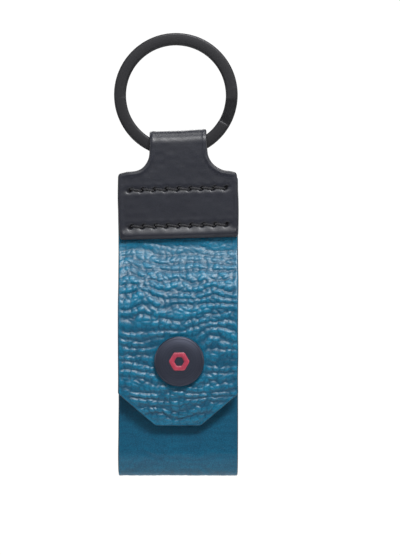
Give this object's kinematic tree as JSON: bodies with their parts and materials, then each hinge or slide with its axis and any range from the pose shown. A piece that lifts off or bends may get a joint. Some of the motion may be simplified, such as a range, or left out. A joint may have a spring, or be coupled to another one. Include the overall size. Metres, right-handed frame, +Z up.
{
  "type": "bluetooth tracker tag",
  "caption": "Leather key fob with a split ring, a stitched tab, a snap flap and a folded strap pocket that holds a wireless tracker module.",
  "frame": {"origin": "hang point: the top of the split ring's bore, in the middle of its width", "axes": "+Z up, +X to the right of the front view, the front of the flap faces -Y"},
  "size_m": [0.0315, 0.0158, 0.1118],
  "materials": {
    "black_steel": "satin black coating, wear at the edges",
    "black_leather": "smooth black leather",
    "teal_leather": "pebbled teal leather with dark painted edges",
    "black_thread": "waxed black thread",
    "cap_metal": "satin gunmetal",
    "red_enamel": "red enamel",
    "nickel": "plated nickel",
    "shell_plastic": "fine moulded texture",
    "soft_rubber": "matt silicone",
    "board_green": "solder mask",
    "chip_black": "moulded package",
    "ceramic_white": "glazed ceramic",
    "brass": "bright brass",
    "clear_plastic": "clear acrylic"
  },
  "bodies": {
    "ring": {"split_ring": "black_steel"},
    "loop": {"tab_loop": "black_leather"},
    "fob": {"neck_front": "black_leather", "neck_back": "black_leather", "tab_front_leaf": "black_leather", "tab_back_leaf": "black_leather", "flap_root": "teal_leather", "strap_back": "teal_leather", "thread_upper": "black_thread", "thread_lower": "black_thread"},
    "flap": {"flap_panel": "teal_leather", "snap_cap": "cap_metal", "cap_mark": "red_enamel", "snap_socket": "nickel", "socket_spring": "nickel"},
    "front_panel": {"strap_front": "teal_leather", "snap_stud": "nickel", "stud_post": "nickel"},
    "tracker": {"shell_front": "shell_plastic", "shell_back": "shell_plastic", "circuit_board": "board_green", "radio_chip": "chip_black", "crystal": "nickel", "antenna": "ceramic_white", "tact_switch": "nickel", "status_led": "ceramic_white", "light_pipe": "clear_plastic", "piezo_disc": "brass", "coin_cell": "nickel", "contact_positive": "brass", "contact_negative": "brass"},
    "door": {"battery_door": "shell_plastic", "door_gasket": "soft_rubber"},
    "button": {"push_button": "soft_rubber"}
  },
  "joints": [
    {"name": "ring_turn", "type": "hinge", "parent": "ring", "child": "loop", "pos_m": [0, 0, -0.0126], "axis": [0, 1, 0], "continuous": true},
    {"name": "neck_bend", "type": "hinge", "parent": "loop", "child": "fob", "pos_m": [0.0006, 0, -0.0303], "axis": [-1, 0, 0], "range_deg": [-60, 60], "deforming": ["neck_front", "neck_back"]},
    {"name": "flap_open", "type": "hinge", "parent": "fob", "child": "flap", "pos_m": [0.0006, -0.00175, -0.0501], "axis": [-1, 0, 0], "range_deg": [0, 120]},
    {"name": "panel_unfold", "type": "hinge", "parent": "fob", "child": "front_panel", "pos_m": [0.0006, 0.00168, -0.1088], "axis": [1, 0, 0], "range_deg": [0, 60]},
    {"name": "tracker_slide", "type": "slide", "parent": "fob", "child": "tracker", "axis": [1, 0, 0], "range_m": [0, 0.028]},
    {"name": "door_twist", "type": "hinge", "parent": "tracker", "child": "door", "pos_m": [0.0006, 0.0045, -0.0886], "axis": [0, 1, 0], "range_deg": [0, 30]},
    {"name": "button_press", "type": "slide", "parent": "tracker", "child": "button", "axis": [0, 1, 0], "range_m": [0, 0.0003], "stiffness_N_per_m": 2000}
  ],
  "couplings": [
    {"joint": "panel_unfold", "follows": "flap_open", "ratio": 0.5}
  ]
}
